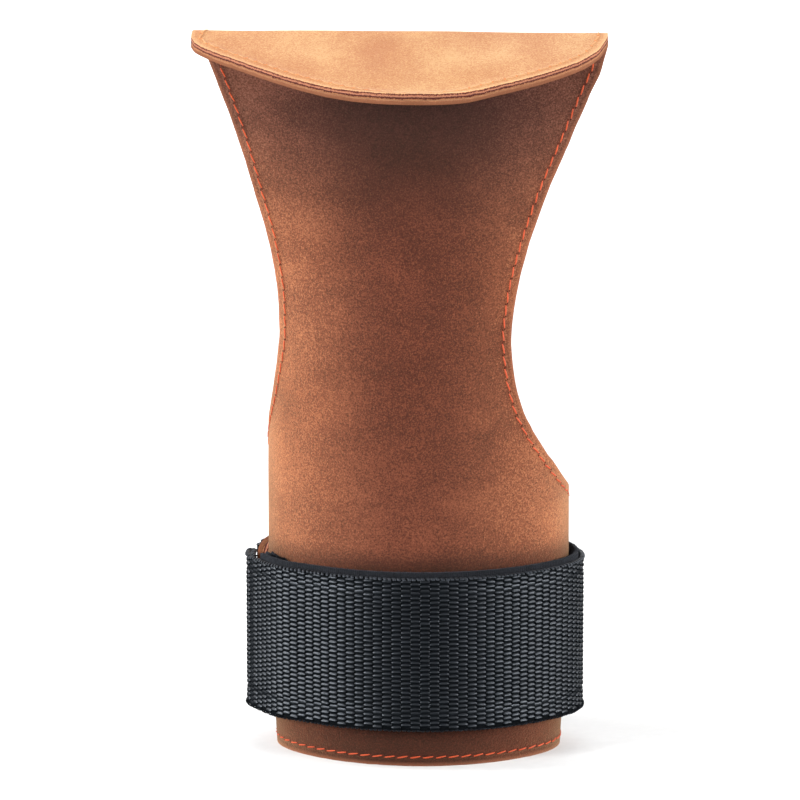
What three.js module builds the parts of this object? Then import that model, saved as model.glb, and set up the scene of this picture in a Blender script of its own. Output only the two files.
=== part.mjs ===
// A weightlifting hand grip: three plies of leather cut to one pattern, with a wide flap folded
// forward over the top, a waisted palm piece, and a cuff that wraps the wrist under a webbing strap.
// Millimetres, +Z up. The front of the grip faces -Y, and the cuff stands on z = 0.

import * as THREE from 'three';
import * as BufferGeometryUtils from 'three/addons/utils/BufferGeometryUtils.js';

// Driving dimensions: the cuff
const cuffWidth = 74.2;
const cuffDepth = 57.3;
const cuffHeight = 50;
const cornerTurn = THREE.MathUtils.degToRad(50); // how far the flat front arc turns before the side arc
const cuffTaper = 0.055; // share by which the cuff's bottom is tighter than its top

// Driving dimensions: the palm piece and the flap
const palmHeight = 176.2;
const flareHeight = 31.4; // how far the cuff's upper edge climbs from its back to the palm piece
const flapWidth = 98.4;
const flapLength = 40.5;
const flapDroop = THREE.MathUtils.degToRad(18);
const foldInside = 1.1;
const tipCurl = THREE.MathUtils.degToRad(32);
const tipCurlLength = 9;

// Driving dimensions: the leather
const palmPly = 1.0;
const corePly = 0.6;
const backingPly = 0.8;
const plyGap = 0.12;
const overlapGap = 0.3;

// Driving dimensions: the strap
const webbingWidth = 38;
const webbingThickness = 1.25;
const strapHeight = 9.5; // from the floor to the lower edge of the webbing
const bandThickness = 1.0;
const bandShowAbove = 1.2; // how far the inner band shows above the webbing
const bandShowBelow = 1.0;
const strapGap = 0.3;
const strapSlack = 1.2; // how loosely the strap stands off the cuff at its right side
const hookTabThickness = 0.9;
const hookTabHeight = 17;
const hookTabShow = 2.6; // how far the hook tape shows above the inner band

// Where the strap's pieces begin and end, as shares of the way round the cuff from the front's middle
const bandStart = -0.215;
const bandEnd = 0.715;
const webbingEnd = 0.715;
const hemFoldAt = -0.262;
const hemEnd = -0.226;
const hemRamp = -0.16;
const hemGap = 0.15;
const hookTabStart = -0.230;
const hookTabEnd = -0.168;

// Fineness of the surfaces
const cuffPitch = 5.2;
const palmPitch = 9;
const foldSteps = 5;
const cuffRowShares = [0, 0.2, 0.4, 0.6, 0.8, 1];
const ringSteps = 84;

// Sizes that follow
const leatherThickness = palmPly + corePly + backingPly + 2 * plyGap;
const overlapLift = leatherThickness + overlapGap;
const halfWidth = cuffWidth / 2;
const halfDepth = cuffDepth / 2;
const foldTurn = Math.PI / 2 + flapDroop;
const foldLength = foldTurn * foldInside;
const flapStart = palmHeight + foldLength;
const flareTop = cuffHeight + flareHeight;
const palmZone = palmHeight - flareTop;

// The oval of the cuff: a wide arc at the front and back, and a tight one at each side.
const sine = Math.sin(cornerTurn);
const cosine = Math.cos(cornerTurn);
const frontRadius = (halfWidth * cosine - halfDepth * (1 - sine)) / (sine * cosine - (1 - cosine) * (1 - sine));
const sideRadius = (halfDepth - frontRadius * (1 - cosine)) / cosine;
const ovalArcs = [
  { radius: frontRadius, turn: cornerTurn },
  { radius: sideRadius, turn: Math.PI - 2 * cornerTurn },
  { radius: frontRadius, turn: 2 * cornerTurn },
  { radius: sideRadius, turn: Math.PI - 2 * cornerTurn },
];
const cuffGirth = 4 * frontRadius * cornerTurn + 2 * sideRadius * (Math.PI - 2 * cornerTurn);

// The cuff's edges, from the left arm's end to the right arm's end. around is a share of the girth
// from the front's middle, bottom a share of the cuff's height, and top a share of the flare's height
// above the cuff. Between the two rows with a top of 1 the cuff runs on into the palm piece.
const cuffEdges = [
  { around: -0.380, bottom: 0.12, top: -0.13 },
  { around: -0.370, bottom: 0.03, top: 0.12 },
  { around: -0.352, bottom: 0, top: 0.30 },
  { around: -0.326, bottom: 0, top: 0.47 },
  { around: -0.308, bottom: 0, top: 0.58 },
  { around: -0.268, bottom: 0, top: 0.80 },
  { around: -0.237, bottom: 0, top: 1 },
  { around: 0.154, bottom: 0, top: 1 },
  { around: 0.180, bottom: 0, top: 0.80 },
  { around: 0.224, bottom: 0, top: 0.58 },
  { around: 0.262, bottom: 0, top: 0.47 },
  { around: 0.316, bottom: 0, top: 0.38 },
  { around: 0.385, bottom: 0, top: 0.29 },
  { around: 0.475, bottom: 0, top: 0.19 },
  { around: 0.565, bottom: 0, top: 0.11 },
  { around: 0.620, bottom: 0.06, top: 0.07 },
  { around: 0.670, bottom: 0.16, top: 0.04 },
  { around: 0.727, bottom: 0.23, top: 0.01 },
  { around: 0.745, bottom: 0.26, top: -0.05 },
  { around: 0.755, bottom: 0.32, top: -0.19 },
];

// The palm piece's edges. height is a share of the way from the flare's top to the fold, and left
// and right are shares of the flap's width.
const palmEdges = [
  { height: 0.065, left: 0.449, right: 0.287 },
  { height: 0.16, left: 0.407, right: 0.261 },
  { height: 0.25, left: 0.378, right: 0.251 },
  { height: 0.35, left: 0.371, right: 0.260 },
  { height: 0.48, left: 0.382, right: 0.288 },
  { height: 0.61, left: 0.406, right: 0.327 },
  { height: 0.74, left: 0.430, right: 0.375 },
  { height: 0.87, left: 0.462, right: 0.424 },
  { height: 0.95, left: 0.486, right: 0.456 },
  { height: 1.00, left: 0.510, right: 0.472 },
];

// The rounded flap. along is a share of the flap length, reach a share of the flap width.
const flapEdges = [
  { along: 0.05, left: 0.527, right: 0.474 },
  { along: 0.12, left: 0.522, right: 0.468 },
  { along: 0.20, left: 0.505, right: 0.455 },
  { along: 0.28, left: 0.487, right: 0.440 },
  { along: 0.36, left: 0.458, right: 0.422 },
  { along: 0.48, left: 0.425, right: 0.396 },
  { along: 0.58, left: 0.380, right: 0.364 },
  { along: 0.67, left: 0.331, right: 0.330 },
  { along: 0.77, left: 0.283, right: 0.280 },
  { along: 0.86, left: 0.234, right: 0.232 },
  { along: 0.925, left: 0.185, right: 0.170 },
  { along: 0.97, left: 0.130, right: 0.110 },
  { along: 1.00, left: 0.060, right: 0.045 },
];

// How strongly the palm piece follows the cuff's oval: 1 is wrapped round the wrist and 0 is flat.
const bendRows = [
  { height: 0.00, bend: 1 },
  { height: 0.14, bend: 1 },
  { height: 0.33, bend: 0.87 },
  { height: 0.52, bend: 0.66 },
  { height: 0.74, bend: 0.36 },
  { height: 0.94, bend: 0.08 },
  { height: 1.00, bend: 0.02 },
];

// How far the strap's layers stand off the cuff's outer face. around is a share of the girth from
// the front's middle, to the right.
const seatRows = [
  { around: -0.300, stand: overlapLift + strapGap },
  { around: -0.236, stand: overlapLift + strapGap },
  { around: -0.205, stand: hookTabThickness + 2 * strapGap },
  { around: -0.160, stand: hookTabThickness + 2 * strapGap },
  { around: -0.130, stand: strapGap },
  { around: 0.170, stand: strapGap },
  { around: 0.235, stand: strapGap + strapSlack },
  { around: 0.290, stand: strapGap + strapSlack },
  { around: 0.345, stand: strapGap },
  { around: 0.500, stand: overlapLift + strapGap },
  { around: 0.760, stand: overlapLift + strapGap },
];

// Straight-line lookup in a table of rows
function lookUp(rows, key, at, column) {
  const after = rows.findIndex((row) => row[key] >= at);
  if (after === 0) return rows[0][column];
  if (after < 0) return rows[rows.length - 1][column];
  const low = rows[after - 1];
  const high = rows[after];
  const part = (at - low[key]) / (high[key] - low[key]);
  return THREE.MathUtils.lerp(low[column], high[column], part);
}

// How strongly the leather is bent across at a height above the floor
function bendAt(run) {
  if (run < cuffHeight) return 1 + cuffTaper * Math.pow(1 - run / cuffHeight, 1.5);
  return lookUp(bendRows, 'height', (run - flareTop) / palmZone, 'bend');
}

// The front face's middle line: up the front, round the fold, and out along the flap.
function spineAt(run) {
  const bend = bendAt(run);
  const frontY = -halfDepth / Math.max(bend, 1);
  if (run <= palmHeight) return { y: frontY, z: run, lean: 0, bend };
  const turned = Math.min((run - palmHeight) / foldInside, foldTurn);
  const foldY = frontY - foldInside * (1 - Math.cos(turned));
  const foldZ = palmHeight + foldInside * Math.sin(turned);
  if (run <= flapStart) return { y: foldY, z: foldZ, lean: turned, bend: 0 };
  const straight = Math.min(run - flapStart, flapLength - tipCurlLength);
  const curled = run - flapStart - straight;
  const curlRadius = tipCurlLength / tipCurl;
  const rise = curled / curlRadius;
  const forward = curlRadius * (Math.cos(foldTurn - rise) - Math.cos(foldTurn));
  const upward = curlRadius * (Math.sin(foldTurn) - Math.sin(foldTurn - rise));
  return {
    y: foldY - straight * Math.sin(foldTurn) - forward,
    z: foldZ + straight * Math.cos(foldTurn) + upward,
    lean: foldTurn - rise,
    bend: 0,
  };
}

// A point of the oval, by the way round it from its front middle: x, how far behind the front, heading
function ovalAt(across, bend) {
  const side = Math.sign(across);
  let left = Math.abs(across);
  let heading = 0;
  let x = 0;
  let behind = 0;
  if (bend < 1e-4) return { x: across, behind: 0, heading: 0 };
  for (const arc of ovalArcs) {
    const radius = arc.radius / bend;
    const turn = Math.min(left / radius, arc.turn);
    x += radius * (Math.sin(heading + turn) - Math.sin(heading));
    behind += radius * (Math.cos(heading) - Math.cos(heading + turn));
    heading += turn;
    left -= radius * turn;
    if (left <= 0) break;
  }
  return { x: side * x, behind, heading: side * heading };
}

// The right arm of the cuff steps outward, to lie over the left arm's end.
function armLift(across, bend) {
  const around = (across * bend) / cuffGirth;
  return overlapLift * THREE.MathUtils.smoothstep(around, 0.37, 0.55);
}

// A point of the formed leather: across the pattern, along its run, and deep into its thickness
function onLeather(across, run, depth) {
  const spine = spineAt(run);
  const oval = ovalAt(across, spine.bend);
  const inward = depth - armLift(across, spine.bend);
  const x = oval.x - inward * Math.sin(oval.heading);
  const behind = oval.behind + inward * Math.cos(oval.heading);
  return [x, spine.y + behind * Math.cos(spine.lean), spine.z + behind * Math.sin(spine.lean)];
}

// A row of pattern points straight across the palm piece or the flap, at one run
function straightRow(run, left, right) {
  const places = [-left];
  const first = Math.ceil(-left / palmPitch + 0.3);
  const last = Math.floor(right / palmPitch - 0.3);
  for (let step = first; step <= last; step += 1) places.push(step * palmPitch);
  places.push(right);
  return places.map((across) => ({ across, run }));
}

// The cuff's rows, each with the same places across, from its lower edge to its upper edge
function makeCuffRows() {
  const places = [cuffEdges[0].around * cuffGirth];
  for (let edge = 1; edge < cuffEdges.length; edge += 1) {
    const start = cuffEdges[edge - 1].around * cuffGirth;
    const span = cuffEdges[edge].around * cuffGirth - start;
    const steps = Math.ceil(span / cuffPitch);
    for (let step = 1; step <= steps; step += 1) places.push(start + (span * step) / steps);
  }
  return cuffRowShares.map((share) =>
    places.map((across) => {
      const around = across / cuffGirth;
      const low = lookUp(cuffEdges, 'around', around, 'bottom') * cuffHeight;
      const high = cuffHeight + lookUp(cuffEdges, 'around', around, 'top') * flareHeight;
      return { across, run: THREE.MathUtils.lerp(low, high, share) };
    }),
  );
}

// The rows of the palm piece, the fold and the flap
function makePalmRows() {
  const top = palmEdges[palmEdges.length - 1];
  const root = flapEdges[0];
  const palm = palmEdges.map((edge) =>
    straightRow(flareTop + edge.height * palmZone, edge.left * flapWidth, edge.right * flapWidth),
  );
  const fold = Array.from({ length: foldSteps }, (_, index) => {
    const part = (index + 1) / foldSteps;
    const left = THREE.MathUtils.lerp(top.left, root.left, part);
    const right = THREE.MathUtils.lerp(top.right, root.right, part);
    return straightRow(palmHeight + part * foldLength, left * flapWidth, right * flapWidth);
  });
  const flap = flapEdges.map((edge) =>
    straightRow(flapStart + edge.along * flapLength, edge.left * flapWidth, edge.right * flapWidth),
  );
  return [...palm, ...fold, ...flap];
}

// The flat pattern: its points, the strips of rows to fill, and the loop round its outline
function makePattern() {
  const points = [];
  const addRow = (row) => row.map((point) => points.push(point) - 1);
  const cuff = makeCuffRows().map(addRow);
  const palm = makePalmRows().map(addRow);
  const cuffTop = cuff[cuff.length - 1];
  const flares = cuffEdges.filter((edge) => edge.top === 1).map((edge) => edge.around * cuffGirth);
  const nearest = (place) =>
    cuffTop.reduce((best, id) =>
      Math.abs(points[id].across - place) < Math.abs(points[best].across - place) ? id : best,
    );
  const [leftFlare, rightFlare] = flares.map((place) => cuffTop.indexOf(nearest(place)));
  const neckRow = cuffTop.slice(leftFlare, rightFlare + 1);
  const strips = [];
  for (let row = 1; row < cuff.length; row += 1) strips.push([cuff[row - 1], cuff[row]]);
  strips.push([neckRow, palm[0]]);
  for (let row = 1; row < palm.length; row += 1) strips.push([palm[row - 1], palm[row]]);
  const middleCuff = cuff.slice(1, -1);
  const sides = palm.slice(0, -1);
  const loop = [
    ...cuff[0],
    ...middleCuff.map((row) => row[row.length - 1]),
    ...cuffTop.slice(rightFlare).reverse(),
    ...sides.map((row) => row[row.length - 1]),
    ...palm[palm.length - 1].slice().reverse(),
    ...sides.map((row) => row[0]).reverse(),
    ...cuffTop.slice(0, leftFlare + 1).reverse(),
    ...middleCuff.map((row) => row[0]).reverse(),
  ];
  return { points, strips, loop };
}

// Triangles between two neighbouring rows of points, taking the nearer next point each time
function fillStrip(points, lower, upper) {
  const triangles = [];
  let low = 0;
  let high = 0;
  while (low < lower.length - 1 || high < upper.length - 1) {
    const nextLow = low < lower.length - 1 ? points[lower[low + 1]].across : Infinity;
    const nextHigh = high < upper.length - 1 ? points[upper[high + 1]].across : Infinity;
    if (nextLow <= nextHigh) {
      triangles.push([lower[low], lower[low + 1], upper[high]]);
      low += 1;
    } else {
      triangles.push([lower[low], upper[high + 1], upper[high]]);
      high += 1;
    }
  }
  return triangles;
}

const pattern = makePattern();

// One ply of the leather as a closed body, between two depths of the sheet
function makePly(name, outerDepth, innerDepth, material) {
  const { points, strips, loop } = pattern;
  const count = points.length;
  const positions = [];
  for (const depth of [outerDepth, innerDepth]) {
    for (const { across, run } of points) positions.push(...onLeather(across, run, depth));
  }
  const front = strips.flatMap(([lower, upper]) => fillStrip(points, lower, upper));
  const back = front.map(([a, b, c]) => [a + count, c + count, b + count]);
  const rim = loop.flatMap((here, index) => {
    const next = loop[(index + 1) % loop.length];
    return [
      [next, here, here + count],
      [next, here + count, next + count],
    ];
  });
  const geometry = new THREE.BufferGeometry();
  geometry.setAttribute('position', new THREE.Float32BufferAttribute(positions, 3));
  geometry.setIndex([...front, ...back, ...rim].flat());
  const mesh = new THREE.Mesh(geometry, material);
  mesh.name = name;
  return mesh;
}

// A place in plan, by its share of the way round the cuff's oval and how far it stands off it
function planPoint(around, stand) {
  const oval = ovalAt(around * cuffGirth, 1);
  const x = oval.x + stand * Math.sin(oval.heading);
  const y = -halfDepth + oval.behind - stand * Math.cos(oval.heading);
  return new THREE.Vector2(x, y);
}

// A line in plan round the cuff, standing off the strap's seat by a distance
function planLine(start, end, standOff) {
  const steps = Math.max(2, Math.round(Math.abs(end - start) * ringSteps));
  return Array.from({ length: steps + 1 }, (_, step) => {
    const around = THREE.MathUtils.lerp(start, end, step / steps);
    return planPoint(around, lookUp(seatRows, 'around', around, 'stand') + standOff(around));
  });
}

// An upright wall with a plan outline, from one height to another
function makeWall(name, outline, bottom, height, material) {
  const options = { depth: height, steps: 1, bevelEnabled: false };
  const extruded = new THREE.ExtrudeGeometry(new THREE.Shape(outline), options);
  extruded.deleteAttribute('normal');
  extruded.deleteAttribute('uv');
  const mesh = new THREE.Mesh(BufferGeometryUtils.mergeVertices(extruded), material);
  mesh.name = name;
  mesh.position.z = bottom;
  return mesh;
}

// The soft pile band that lines the strap, open behind the left side
function makeBand(material) {
  const inner = planLine(bandStart, bandEnd, () => 0);
  const outer = planLine(bandEnd, bandStart, () => bandThickness);
  const height = webbingWidth + bandShowAbove + bandShowBelow;
  return makeWall('strap_band', [...inner, ...outer], strapHeight - bandShowBelow, height, material);
}

// The webbing: from a folded hem at the left, over the front, and round to behind the left side
function makeWebbing(material) {
  const hemStep = webbingThickness + hemGap;
  const onBand = bandThickness + strapGap;
  const layer = (around) => THREE.MathUtils.lerp(hemStep, onBand, THREE.MathUtils.smoothstep(around, hemEnd, hemRamp));
  const inner = planLine(hemEnd, webbingEnd, layer);
  const outer = planLine(webbingEnd, hemEnd, (around) => layer(around) + webbingThickness);
  const turn = hemFold(hemStep + webbingThickness);
  const hemInside = planLine(hemFoldAt, hemEnd, () => 0);
  const hemOutside = planLine(hemEnd, hemFoldAt, () => webbingThickness);
  const outline = [...hemOutside, ...planLine(hemFoldAt, hemEnd, () => hemStep).slice(0, -1), ...inner, ...outer];
  outline.push(...planLine(hemEnd, hemFoldAt, () => hemStep + webbingThickness).slice(1), ...turn, ...hemInside);
  return makeWall('strap_webbing', outline, strapHeight, webbingWidth, material);
}

// The round back of the hem's fold, from its outer face to its inner one
function hemFold(thickness) {
  const middle = lookUp(seatRows, 'around', hemFoldAt, 'stand') + thickness / 2;
  return [0.2, 0.4, 0.6, 0.8].map((part) => {
    const angle = Math.PI * (0.5 - part);
    const around = hemFoldAt - ((thickness / 2) * Math.cos(angle)) / cuffGirth;
    return planPoint(around, middle + (thickness / 2) * Math.sin(angle));
  });
}

// The scrap of hook tape between the leather and the band, at the front of the left side
function makeHookTab(material) {
  const inside = [];
  const outside = [];
  for (let step = 0; step <= 6; step += 1) {
    const around = THREE.MathUtils.lerp(hookTabStart, hookTabEnd, step / 6);
    inside.push(planPoint(around, strapGap));
    outside.unshift(planPoint(around, strapGap + hookTabThickness));
  }
  const top = strapHeight + webbingWidth + bandShowAbove + hookTabShow;
  return makeWall('strap_hook_tab', [...inside, ...outside], top - hookTabHeight, hookTabHeight, material);
}

const nubuck = new THREE.MeshStandardMaterial({ color: 0x74503f, roughness: 0.85, metalness: 0 });
const coreLeather = new THREE.MeshStandardMaterial({ color: 0x7a3226, roughness: 0.8, metalness: 0 });
const suede = new THREE.MeshStandardMaterial({ color: 0xdca06c, roughness: 0.9, metalness: 0 });
const pile = new THREE.MeshStandardMaterial({ color: 0x15181b, roughness: 0.95, metalness: 0 });
const nylon = new THREE.MeshStandardMaterial({ color: 0x2b3238, roughness: 0.55, metalness: 0 });

const coreDepth = palmPly + plyGap;
const backingDepth = coreDepth + corePly + plyGap;

const model = new THREE.Group();
model.add(makePly('palm_leather', 0, palmPly, nubuck));
model.add(makePly('core_leather', coreDepth, coreDepth + corePly, coreLeather));
model.add(makePly('backing_leather', backingDepth, leatherThickness, suede));
model.add(makeBand(pile));
model.add(makeWebbing(nylon));
model.add(makeHookTab(pile));

// The origin is on the floor, under the middle of the whole grip.
const box = new THREE.Box3().setFromObject(model);
const middle = box.getCenter(new THREE.Vector3());
model.position.set(-middle.x, -middle.y, -box.min.z);

export default model;
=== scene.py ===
# Weightlifting hand grip: the looks of the leather plies, the stitching and the webbing strap
import bisect
import math
import random
import bmesh
import bpy
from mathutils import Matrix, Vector, kdtree, noise


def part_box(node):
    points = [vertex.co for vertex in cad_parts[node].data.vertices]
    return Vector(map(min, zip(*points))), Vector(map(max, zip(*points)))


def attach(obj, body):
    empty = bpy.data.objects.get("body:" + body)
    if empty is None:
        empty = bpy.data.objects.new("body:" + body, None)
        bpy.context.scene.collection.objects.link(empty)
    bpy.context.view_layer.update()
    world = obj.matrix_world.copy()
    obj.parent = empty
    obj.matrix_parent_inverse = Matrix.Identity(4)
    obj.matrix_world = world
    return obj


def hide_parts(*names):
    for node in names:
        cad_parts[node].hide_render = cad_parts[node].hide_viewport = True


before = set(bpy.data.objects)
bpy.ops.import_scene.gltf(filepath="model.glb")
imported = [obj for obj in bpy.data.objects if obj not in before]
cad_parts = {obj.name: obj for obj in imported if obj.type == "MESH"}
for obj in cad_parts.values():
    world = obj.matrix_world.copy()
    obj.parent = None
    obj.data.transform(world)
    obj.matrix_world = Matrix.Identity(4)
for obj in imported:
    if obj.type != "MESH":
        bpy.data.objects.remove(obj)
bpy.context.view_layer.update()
print("frame loaded:", sorted(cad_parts))

mm = 0.001
random.seed(11)
noise.seed_set(11)     # for the wavering of the cut edge

# Sizes of the formed leather in millimetres, as in the frame
leather = {
    "cuffWidth": 74.2,
    "cuffDepth": 57.3,
    "cuffHeight": 50.0,
    "cornerTurn": math.radians(50),
    "cuffTaper": 0.055,
    "palmHeight": 176.2,
    "flareHeight": 31.4,
    "flapWidth": 98.4,
    "flapLength": 40.5,
    "flapDroop": math.radians(18),
    "foldInside": 1.1,
    "tipCurl": math.radians(32),
    "tipCurlLength": 9.0,
    "palmPly": 1.0,
    "corePly": 0.66,
    "backingPly": 0.88,
    "plyGap": 0.05,
    "overlapGap": 0.3,
    "gridPitch": 1.7,      # size of the surface's squares away from the edges
    "waveDepth": 0.35,     # how far the palm piece swells and sinks
    "waveSize": 26.0,
    "waveRun": (52, 90),   # between these runs the swells grow from nothing
    "overlapRun": (0.37, 0.55),  # shares of the girth over which the right arm climbs over the left
    "rimWobble": 0.16,     # how uneven the cut is
    "rimWobbleSize": 3.4,
    "foldRows": 9,
}

thickness = leather["palmPly"] + leather["corePly"] + leather["backingPly"] + 2 * leather["plyGap"]
overlapLift = thickness + leather["overlapGap"]
halfWidth = leather["cuffWidth"] / 2
halfDepth = leather["cuffDepth"] / 2
foldTurn = math.pi / 2 + leather["flapDroop"]
foldLength = foldTurn * leather["foldInside"]
flapStart = leather["palmHeight"] + foldLength
flareTop = leather["cuffHeight"] + leather["flareHeight"]
palmZone = leather["palmHeight"] - flareTop

# The cuff's oval: a wide arc at front and back, a tight one at each side
cornerSin = math.sin(leather["cornerTurn"])
cornerCos = math.cos(leather["cornerTurn"])
frontRadius = (halfWidth * cornerCos - halfDepth * (1 - cornerSin)) / (
    cornerSin * cornerCos - (1 - cornerCos) * (1 - cornerSin))
sideRadius = (halfDepth - frontRadius * (1 - cornerCos)) / cornerCos
sideTurn = math.pi - 2 * leather["cornerTurn"]
ovalArcs = [(frontRadius, leather["cornerTurn"]), (sideRadius, sideTurn),
            (frontRadius, 2 * leather["cornerTurn"]), (sideRadius, sideTurn)]
girth = 4 * frontRadius * leather["cornerTurn"] + 2 * sideRadius * sideTurn

# The cuff's edges: share of the girth from the front's middle, share of the cuff's height for the
# lower edge, share of the flare's height above the cuff for the upper edge
cuffEdges = [
    (-0.380, 0.12, -0.13), (-0.370, 0.03, 0.12), (-0.352, 0, 0.30), (-0.326, 0, 0.47),
    (-0.308, 0, 0.58), (-0.268, 0, 0.80), (-0.237, 0, 1), (0.154, 0, 1), (0.180, 0, 0.79),
    (0.222, 0, 0.56), (0.262, 0, 0.45), (0.316, 0, 0.38), (0.385, 0, 0.29), (0.475, 0, 0.19),
    (0.565, 0, 0.11), (0.620, 0.06, 0.07), (0.670, 0.16, 0.02), (0.727, 0.23, -0.045),
    (0.745, 0.26, -0.095), (0.755, 0.32, -0.21),
]
leftFlare = -0.237 * girth
rightFlare = 0.154 * girth

# The palm piece's edges: share of its height, then left and right as shares of the flap's width
palmEdges = [
    (0, 0.237 * girth / leather["flapWidth"], 0.154 * girth / leather["flapWidth"]),
    (0.065, 0.449, 0.287), (0.16, 0.409, 0.261), (0.25, 0.381, 0.251), (0.35, 0.374, 0.260),
    (0.48, 0.386, 0.289), (0.61, 0.412, 0.330), (0.74, 0.438, 0.379), (0.87, 0.471, 0.427),
    (0.95, 0.495, 0.458), (1.00, 0.517, 0.470),
]

# The flap's end: share of its width from the middle, share of its length
flapReach = [
    (-0.533, 0.085), (-0.522, 0.155), (-0.49, 0.24), (-0.41, 0.40), (-0.30, 0.605), (-0.20, 0.755),
    (-0.10, 0.87), (0.0, 0.94), (0.10, 0.89), (0.20, 0.76), (0.30, 0.615), (0.36, 0.50), (0.41, 0.38),
    (0.445, 0.25), (0.463, 0.12), (0.471, 0.03),
]
flapLeft = -flapReach[0][0]
flapRight = flapReach[-1][0]

# How strongly the palm piece is bent across: 1 is wrapped round the wrist, 0 is flat
bendRows = [(0, 1), (0.14, 1), (0.33, 0.87), (0.52, 0.66), (0.74, 0.36), (0.94, 0.08), (1, 0.02)]


def smoothCurve(rows, column=1):
    # A smooth curve through the rows of a table, which never swings past a row
    xs = [row[0] for row in rows]
    ys = [row[column] for row in rows]
    slopes = [(ys[i + 1] - ys[i]) / (xs[i + 1] - xs[i]) for i in range(len(xs) - 1)]
    tangents = [slopes[0]]
    for low, high in zip(slopes, slopes[1:]):
        tangents.append(0.0 if low * high <= 0 else 2 * low * high / (low + high))
    tangents.append(slopes[-1])

    def valueAt(x):
        if x <= xs[0]:
            return ys[0]
        if x >= xs[-1]:
            return ys[-1]
        i = bisect.bisect_right(xs, x) - 1
        span = xs[i + 1] - xs[i]
        t = (x - xs[i]) / span
        a = 2 * t ** 3 - 3 * t ** 2 + 1
        b = t ** 3 - 2 * t ** 2 + t
        c = -2 * t ** 3 + 3 * t ** 2
        d = t ** 3 - t ** 2
        return a * ys[i] + b * span * tangents[i] + c * ys[i + 1] + d * span * tangents[i + 1]

    return valueAt


cuffBottomShare = smoothCurve(cuffEdges, 1)
cuffTopLeft = smoothCurve([row for row in cuffEdges if row[0] < 0], 2)
cuffTopRight = smoothCurve([row for row in cuffEdges if row[0] > 0], 2)
palmLeftShare = smoothCurve(palmEdges, 1)
palmRightShare = smoothCurve(palmEdges, 2)
flapReachShare = smoothCurve(flapReach)
palmBend = smoothCurve(bendRows)


def smoothStep(x, low, high):
    t = min(max((x - low) / (high - low), 0.0), 1.0)
    return t * t * (3 - 2 * t)


def bendAt(run):
    if run < leather["cuffHeight"]:
        return 1 + leather["cuffTaper"] * (1 - run / leather["cuffHeight"]) ** 1.5
    return palmBend((run - flareTop) / palmZone)


def spineAt(run):
    # The front face's middle line: y, z, lean and bend across
    bend = bendAt(max(run, 0.0)) if run <= leather["palmHeight"] else 0.0
    frontY = -halfDepth / max(bend, 1)
    if run <= leather["palmHeight"]:
        return frontY, run, 0.0, bend
    turned = min((run - leather["palmHeight"]) / leather["foldInside"], foldTurn)
    foldY = frontY - leather["foldInside"] * (1 - math.cos(turned))
    foldZ = leather["palmHeight"] + leather["foldInside"] * math.sin(turned)
    if run <= flapStart:
        return foldY, foldZ, turned, 0.0
    straight = min(run - flapStart, leather["flapLength"] - leather["tipCurlLength"])
    curlRadius = leather["tipCurlLength"] / leather["tipCurl"]
    rise = (run - flapStart - straight) / curlRadius
    forward = curlRadius * (math.cos(foldTurn - rise) - math.cos(foldTurn))
    upward = curlRadius * (math.sin(foldTurn) - math.sin(foldTurn - rise))
    return (foldY - straight * math.sin(foldTurn) - forward,
            foldZ + straight * math.cos(foldTurn) + upward, foldTurn - rise, 0.0)


def ovalAt(across, bend):
    # A point of the oval: x, how far behind the front, heading
    if bend < 1e-4:
        return across, 0.0, 0.0
    side = 1 if across >= 0 else -1
    left = abs(across)
    heading = x = behind = 0.0
    for arcRadius, arcTurn in ovalArcs:
        radius = arcRadius / bend
        turn = min(left / radius, arcTurn)
        x += radius * (math.sin(heading + turn) - math.sin(heading))
        behind += radius * (math.cos(heading) - math.cos(heading + turn))
        heading += turn
        left -= radius * turn
        if left <= 1e-9:
            break
    return side * x, behind, side * heading


def waveAt(across, run):
    # Slow swells of the palm piece, none where the strap holds the cuff
    hold = smoothStep(run, *leather["waveRun"])
    swell = noise.noise(Vector((across, run, 7.0)) / leather["waveSize"])
    return leather["waveDepth"] * hold * swell


def onLeather(across, run, depth):
    y, z, lean, bend = spineAt(run)
    x, behind, heading = ovalAt(across, bend)
    lift = overlapLift * smoothStep(across * bend / girth, *leather["overlapRun"])
    inward = depth - lift + waveAt(across, run)
    x -= inward * math.sin(heading)
    behind += inward * math.cos(heading)
    return Vector((x, y + behind * math.cos(lean), z + behind * math.sin(lean)))


# Where the cuff's middle stands in the frame, from the flap's tip and its left end
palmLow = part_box("palm_leather")[0]
tipY = spineAt(flapStart + leather["flapLength"])[0]
cuffMiddle = Vector((palmLow.x / mm + flapLeft * leather["flapWidth"], palmLow.y / mm - tipY, 0))


def toFrame(point):
    return (point + cuffMiddle) * mm


def addObject(name, bm, materials=()):
    mesh = bpy.data.meshes.new(name)
    bm.to_mesh(mesh)
    bm.free()
    for material in materials:
        mesh.materials.append(material)
    item = bpy.data.objects.new(name, mesh)
    bpy.context.scene.collection.objects.link(item)
    return item


def finishPiece(bm, name, materials, replaced=(), closed=True):
    # Turns a bmesh in millimetres round the cuff's middle into a piece that rides on the frame
    if closed:
        bmesh.ops.recalc_face_normals(bm, faces=bm.faces)
    for vert in bm.verts:
        vert.co = toFrame(vert.co)
    for face in bm.faces:
        face.smooth = True
    piece = addObject(name, bm, materials)
    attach(piece, "root")
    if replaced:
        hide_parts(*replaced)
    print("made", name, len(piece.data.polygons), "faces")


def vertsIn(geometry):
    return [item for item in geometry if isinstance(item, bmesh.types.BMVert)]


def thicken(bm, axis, place):
    # Gives a flat sheet its far side, at a place along one axis, and returns the faces between
    for vert in vertsIn(bmesh.ops.extrude_face_region(bm, geom=list(bm.faces))["geom"]):
        vert.co[axis] = place
    bmesh.ops.recalc_face_normals(bm, faces=bm.faces)
    return [face for face in bm.faces if abs(face.normal[axis]) < 0.5]


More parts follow.
